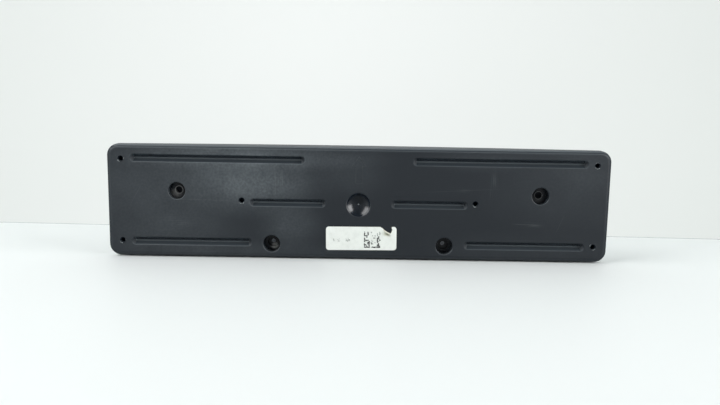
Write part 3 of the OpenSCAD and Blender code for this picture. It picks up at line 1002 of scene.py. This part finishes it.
def ink_spot(vertices, faces, centre, size, height, dice):
    """Adds one worn square of ink: a thin, uneven eight-sided tile on the paper."""
    start = len(vertices)
    sides = 8
    outline = []
    for side in range(sides):
        turn = math.tau * (side + 0.5) / sides
        reach = size / 2 * (0.72 + 0.34 * dice.random())
        outline.append((centre.x + reach * math.cos(turn), centre.y + reach * math.sin(turn)))
    for level in (height, height - 0.012 * MM):
        vertices.extend((x, -level, z) for x, z in outline)
    faces.append(tuple(range(start, start + sides)))
    faces.append(tuple(reversed(range(start + sides, start + 2 * sides))))
    for side in range(sides):
        beside = (side + 1) % sides
        faces.append((start + beside, start + side, start + sides + side, start + sides + beside))


# Lower left square (x, z) of the block of random squares, in mm, and how many squares wide and high it is
BLOCK_LOW = (6.8, -46.3)
BLOCK_COUNT = 14
# Zones of the block, the first that fits counts: columns, rows, how many squares are left, and how many
# of those are dark
PRINT_ZONES = (
    ((0, 0), (0, 13), 0.85, 0.95),
    ((0, 5), (0, 0), 0.95, 1.0),
    ((6, 10), (0, 0), 0.75, 0.4),
    ((11, 13), (0, 0), 0.95, 1.0),
    ((1, 3), (8, 13), 0.42, 0.9),
    ((1, 4), (6, 6), 0.85, 1.0),
    ((1, 2), (3, 5), 0.1, 1.0),
    ((1, 4), (1, 5), 0.6, 1.0),
    ((5, 6), (3, 5), 0.6, 0.9),
    ((7, 9), (3, 5), 0.4, 0.2),
    ((11, 13), (1, 9), 0.45, 0.75),
    ((11, 13), (10, 13), 0.35, 0.1),
)
# How many squares are left, and how many of those are dark, in the rest of the block
PRINT_REST = (0.1, 0.1)
# Groups of faint marks beside the block: middle (x, z), width in mm, and count
FAINT_MARKS = (
    ((-24.8, -39.0), 1.5, 4),
    ((-20.2, -39.0), 2.6, 6),
    ((-10.6, -38.8), 4.6, 15),
)


def print_shares(column, row):
    """How many of the squares there are left, and how many of those are dark, as shares."""
    for columns, rows, kept, dark in PRINT_ZONES:
        if columns[0] <= column <= columns[1] and rows[0] <= row <= rows[1]:
            return kept, dark
    return PRINT_REST


class PLATE_HOLDER_OT_make_print(bpy.types.Operator):
    """Make the sticker's worn print: a block of random squares and groups of faint marks"""

    bl_idname = "plate_holder.make_print"
    bl_label = "Make the worn print"

    def execute(self, context):
        sizes = context.scene.plate_holder_sticker
        dice = random.Random(sizes.seed)
        # The ink lies just above the highest wave of the paper
        height = sizes.thickness + 0.055 * MM
        cell = sizes.print_cell
        dark, pale = ([], []), ([], [])
        for column in range(BLOCK_COUNT):
            for row in range(BLOCK_COUNT):
                kept, share_dark = print_shares(column, row)
                if dice.random() < kept:
                    spot = Vector(BLOCK_LOW) * MM + Vector((column * cell, row * cell))
                    spot += Vector((dice.uniform(-0.15, 0.15), dice.uniform(-0.15, 0.15))) * MM
                    layer = dark if dice.random() < share_dark else pale
                    ink_spot(*layer, spot, cell * dice.uniform(1.15, 1.5), height, dice)
        squares = new_piece("worn_print_block", *dark, worn_thermal_ink(sizes))
        for middle, width, marks in FAINT_MARKS:
            for _ in range(marks):
                spot = Vector(middle) + Vector((dice.uniform(-0.5, 0.5) * width, dice.uniform(-1.5, 1.5)))
                ink_spot(*pale, spot * MM, dice.uniform(0.8, 1.25) * MM, height, dice)
        dashes = new_piece("faded_print", *pale, faded_thermal_ink(sizes))
        for piece in (squares, dashes):
            turn_with_sticker(piece, sizes)
        return {"FINISHED"}


# Studio

# Softboxes: name, the setting that holds its power, place, width and height in metres
SOFTBOXES = (
    ("softbox_left", "left_lamp", (-3.16, -1.0, 2.24), 2.8, 4.0),
    ("softbox_right", "right_lamp", (3.68, -1.16, 1.0), 2.8, 3.2),
    ("softbox_top", "top_lamp", (0.0, 0.5, 2.3), 2.0, 0.8),
    ("softbox_rear", "back_lamp", (0.4, 2.3, 3.1), 2.8, 2.0),
)
# Cards behind the holes in the cups, for the shade seen through them: the black one, close behind, is a sheet
# of painted shade, and the grey one, further back, is lit where it stands. Columns: name, colour, mount of
# the holes, distance behind the face and radius in metres
CARDS = (
    ("black_card", "#2a2b2f", "upper_fixing_screws", 0.0148, 0.0075),
    ("grey_card", "#8f9197", "lower_fixing_screws", 0.04, 0.012),
)


def seen_from_front(material, shader):
    """Ends a stage material: the shader from the front, and clear from behind."""
    tree = material.node_tree
    behind = add_node(tree, "ShaderNodeNewGeometry").outputs["Backfacing"]
    clear = add_node(tree, "ShaderNodeBsdfTransparent")
    return finish_material(material, add_node(tree, "ShaderNodeMixShader", {0: behind, 1: shader, 2: clear}))


def matt_white_paper(studio):
    """Uncoated white paper, lit through from behind. The eye sees an even, matt, faintly greenish white.
    Only the camera, mirrors and glass see the light in it: it doesn't light the object."""
    material, tree = start_material("matt_white_paper")
    # Painted shade darkens it towards its sides, for the light falling off there; it is palest a little left
    # of the middle
    reach = patch_reach(tree, surface_point(tree), (-60, 0), (520, 4000))
    falloff_to_sides = add_node(tree, "ShaderNodeMapRange", {0: reach, 1: 0.15, 2: 1.0})
    pale = paint(tree, studio.pale, (falloff_to_sides, studio.shaded_sides))
    path = add_node(tree, "ShaderNodeLightPath").outputs
    seen = path["Is Camera Ray"]
    for ray in ("Is Glossy Ray", "Is Transmission Ray"):
        seen = add_node(tree, "ShaderNodeMath", {0: seen, 1: path[ray]}, operation="MAXIMUM")
    matt = add_node(tree, "ShaderNodeBsdfDiffuse", {"Color": pale})
    glow = add_node(tree, "ShaderNodeEmission", {"Color": pale, "Strength": 1.0})
    glowing = product(tree, seen, studio.backdrop_glow)
    return seen_from_front(
        material, add_node(tree, "ShaderNodeMixShader", {0: glowing, 1: matt, 2: glow}))


def satin_white_laminate(studio):
    """Pressed white laminate with a satin face. The eye sees a bright white that darkens close to the
    object, which it mirrors softly. Reflections on the object show it dimmer, as the photograph does."""
    material, tree = start_material("satin_white_laminate")
    mirrored = product(tree, add_node(tree, "ShaderNodeLightPath").outputs["Is Glossy Ray"], studio.dimming)
    shown = paint(tree, studio.table, (mirrored, [0.0, 0.0, 0.0]))
    shader = add_node(
        tree, "ShaderNodeBsdfPrincipled",
        {"Base Color": shown, "Roughness": studio.table_gloss, "IOR": LAMINATE_IOR})
    return seen_from_front(material, shader)


def matt_card(name, hex_colour):
    """Matt card that is seen only from the front."""
    material, tree = start_material(name)
    shader = add_node(tree, "ShaderNodeBsdfDiffuse", {"Color": (*linear(hex_colour), 1)})
    return seen_from_front(material, shader)


def soft_world(studio):
    """Even light from all round, a little brighter from the walls than from above."""
    world = bpy.data.worlds.new("soft_world")
    bpy.context.scene.world = world
    world.use_nodes = True
    tree = world.node_tree
    tree.nodes.clear()
    towards = add_node(
        tree, "ShaderNodeSeparateXYZ", {0: add_node(tree, "ShaderNodeTexCoord").outputs["Generated"]})
    glow = add_node(
        tree, "ShaderNodeMapRange",
        {0: towards.outputs["Z"], 1: -0.1, 2: 0.9, 3: 1.3 * studio.soft_light, 4: 0.5 * studio.soft_light})
    lit = add_node(tree, "ShaderNodeBackground", {"Color": (*linear("#f4f9ff"), 1), "Strength": glow})
    add_node(tree, "ShaderNodeOutputWorld", {"Surface": lit})


class PLATE_HOLDER_OT_set_stage(bpy.types.Operator):
    """Set up the pale floor and backdrop, the soft lamps and the camera"""

    bl_idname = "plate_holder.set_stage"
    bl_label = "Set the stage"

    def execute(self, context):
        studio = context.scene.plate_holder_studio
        soft_world(studio)
        self.make_room(studio)
        self.make_cards()
        self.make_lamps(studio)
        self.make_camera(studio)
        context.scene.view_settings.view_transform = "Standard"
        return {"FINISHED"}

    def make_room(self, studio):
        """The table and, a little askew behind it, the backdrop. A thin gap is left between them."""
        floor_z = CAD_BOUNDS[0].z
        right_x, front_y, top_z = 1.2, -0.42, 1.2
        left_x = -right_x
        left_y, right_y = (
            studio.backdrop_gap - x * math.tan(studio.backdrop_turn) for x in (left_x, right_x))
        table = [(left_x, front_y, floor_z), (right_x, front_y, floor_z),
                 (right_x, right_y, floor_z), (left_x, left_y, floor_z)]
        low_z = floor_z + studio.backdrop_lift
        backdrop = [(left_x, left_y, low_z), (right_x, right_y, low_z),
                    (right_x, right_y, top_z), (left_x, left_y, top_z)]
        self.make_sheet("table", table, satin_white_laminate(studio))
        self.make_sheet("backdrop", backdrop, matt_white_paper(studio))

    def make_sheet(self, name, corners, material):
        """A flat piece of the stage."""
        mesh = bpy.data.meshes.new(name)
        mesh.from_pydata(corners, [], [tuple(range(len(corners)))])
        mesh.materials.append(material)
        sheet = bpy.data.objects.new(name, mesh)
        bpy.context.scene.collection.objects.link(sheet)

    def make_cards(self):
        """Round cards behind the holes in the cups, for the shade seen through them."""
        turns = [math.tau * step / 32 for step in range(32)]
        for name, hex_colour, mount, y, radius in CARDS:
            material = matt_card(name, hex_colour)
            for x, z in hole_centres(mount):
                disc = [(x + radius * math.cos(t), y, z + radius * math.sin(t)) for t in turns]
                self.make_sheet("card", disc, material)

    def make_lamps(self, studio):
        """The softboxes, which all face the middle of the holder."""
        for name, setting, place, width, height in SOFTBOXES:
            lamp = bpy.data.lights.new(name, "AREA")
            lamp.shape = "RECTANGLE"
            lamp.size = width
            lamp.size_y = height
            lamp.energy = getattr(studio, setting)
            box = bpy.data.objects.new(name, lamp)
            bpy.context.scene.collection.objects.link(box)
            box.location = place
            box.rotation_euler = (-Vector(place)).to_track_quat("-Z", "Y").to_euler()

    def make_camera(self, studio):
        """The camera, in front of the holder and a little above it."""
        camera = bpy.data.objects.new("camera", bpy.data.cameras.new("camera"))
        bpy.context.scene.collection.objects.link(camera)
        camera.data.sensor_width = 36.0
        camera.data.lens = studio.lens
        place = Matrix.Translation((studio.side, -studio.distance, studio.height))
        upright = Matrix.Rotation(math.pi / 2 - studio.pitch, 4, "X")
        camera.matrix_world = place @ upright @ Matrix.Rotation(studio.roll, 4, "Z")
        bpy.context.scene.camera = camera


OPERATORS = (
    PLATE_HOLDER_OT_set_stage,
    PLATE_HOLDER_OT_finish_carrier,
    PLATE_HOLDER_OT_make_arrow,
    PLATE_HOLDER_OT_make_burrs,
    PLATE_HOLDER_OT_make_sticker,
    PLATE_HOLDER_OT_make_print,
)


class PLATE_HOLDER_PT_panel(bpy.types.Panel):
    """Sizes, colours and steps of the plate holder"""

    bl_idname = "PLATE_HOLDER_PT_panel"
    bl_label = "Plate Holder"
    bl_space_type = "VIEW_3D"
    bl_region_type = "UI"
    bl_category = "Plate Holder"

    def draw(self, context):
        for name, group in SETTINGS.items():
            column = self.layout.box().column()
            column.label(text=group.__doc__.split(".")[0])
            for key in group.__annotations__:
                column.prop(getattr(context.scene, name), key)
        for operator in OPERATORS:
            self.layout.operator(operator.bl_idname)


CLASSES = (*SETTINGS.values(), *OPERATORS, PLATE_HOLDER_PT_panel)


def register():
    for cls in CLASSES:
        bpy.utils.register_class(cls)
    for name, group in SETTINGS.items():
        setattr(bpy.types.Scene, name, PointerProperty(type=group))


def unregister():
    for name in SETTINGS:
        delattr(bpy.types.Scene, name)
    for cls in reversed(CLASSES):
        bpy.utils.unregister_class(cls)


def main():
    """Builds the stage and every piece."""
    register()
    for operator in OPERATORS:
        group, name = operator.bl_idname.split(".")
        getattr(getattr(bpy.ops, group), name)()


if __name__ == "__main__":
    main()
